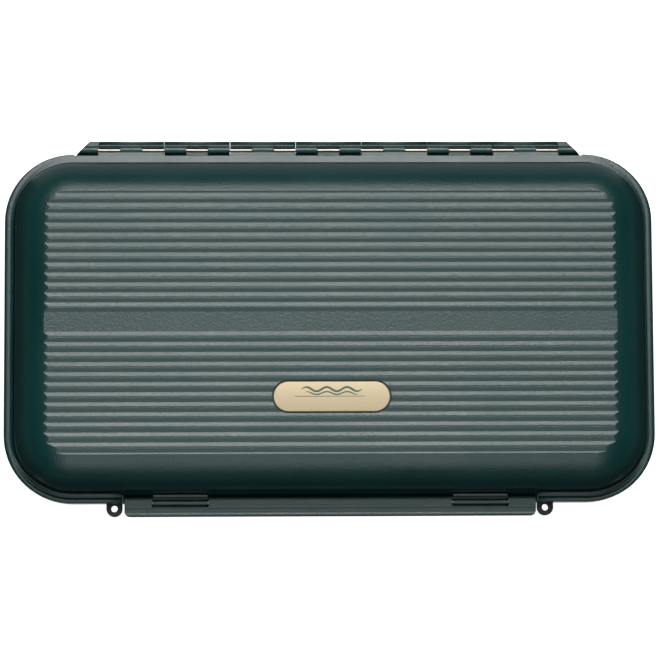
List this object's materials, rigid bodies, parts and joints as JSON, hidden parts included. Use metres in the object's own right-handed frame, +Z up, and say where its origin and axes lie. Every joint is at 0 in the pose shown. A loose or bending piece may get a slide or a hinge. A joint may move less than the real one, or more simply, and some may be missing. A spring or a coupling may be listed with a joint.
{
  "type": "fly box",
  "caption": "Flat case with two hinged ribbed shells, a full-width flip latch, a rim seal, lanyard eyes and foam strips inside.",
  "frame": {"origin": "on the table, under the middle of the case", "axes": "+X along the case, to the right as seen from the latch; +Y from the latch to the hinge; +Z up through the lid"},
  "size_m": [0.196, 0.1141, 0.044],
  "materials": {
    "green_plastic": "fine satin grain",
    "steel": "drawn",
    "seal_rubber": "matt",
    "gold_badge": "satin gold",
    "black_plastic": "satin",
    "tray_plastic": "satin",
    "foam": "closed-cell foam"
  },
  "bodies": {
    "base": {"base_shell": "green_plastic", "hinge_pin": "steel", "seal_ring": "seal_rubber", "lanyard_eye_left": "black_plastic", "lanyard_eye_right": "black_plastic", "base_tray": "tray_plastic", "base_foam_1": "foam", "base_foam_2": "foam", "base_foam_3": "foam", "base_foam_4": "foam", "base_foam_5": "foam", "base_foam_6": "foam", "base_foam_7": "foam", "base_foam_8": "foam"},
    "lid": {"lid_shell": "green_plastic", "latch_pin": "steel", "badge_plate": "gold_badge", "lid_tray": "tray_plastic", "lid_foam_1": "foam", "lid_foam_2": "foam", "lid_foam_3": "foam", "lid_foam_4": "foam", "lid_foam_5": "foam", "lid_foam_6": "foam", "lid_foam_7": "foam", "lid_foam_8": "foam"},
    "latch": {"latch_bar": "green_plastic"}
  },
  "joints": [
    {"name": "lid_hinge", "type": "hinge", "parent": "base", "child": "lid", "pos_m": [0, 0.05465, 0.022], "axis": [-1, 0, 0], "range_deg": [0, 180]},
    {"name": "latch_hinge", "type": "hinge", "parent": "lid", "child": "latch", "pos_m": [0, -0.0527, 0.0249], "axis": [-1, 0, 0], "range_deg": [0, 110]}
  ]
}
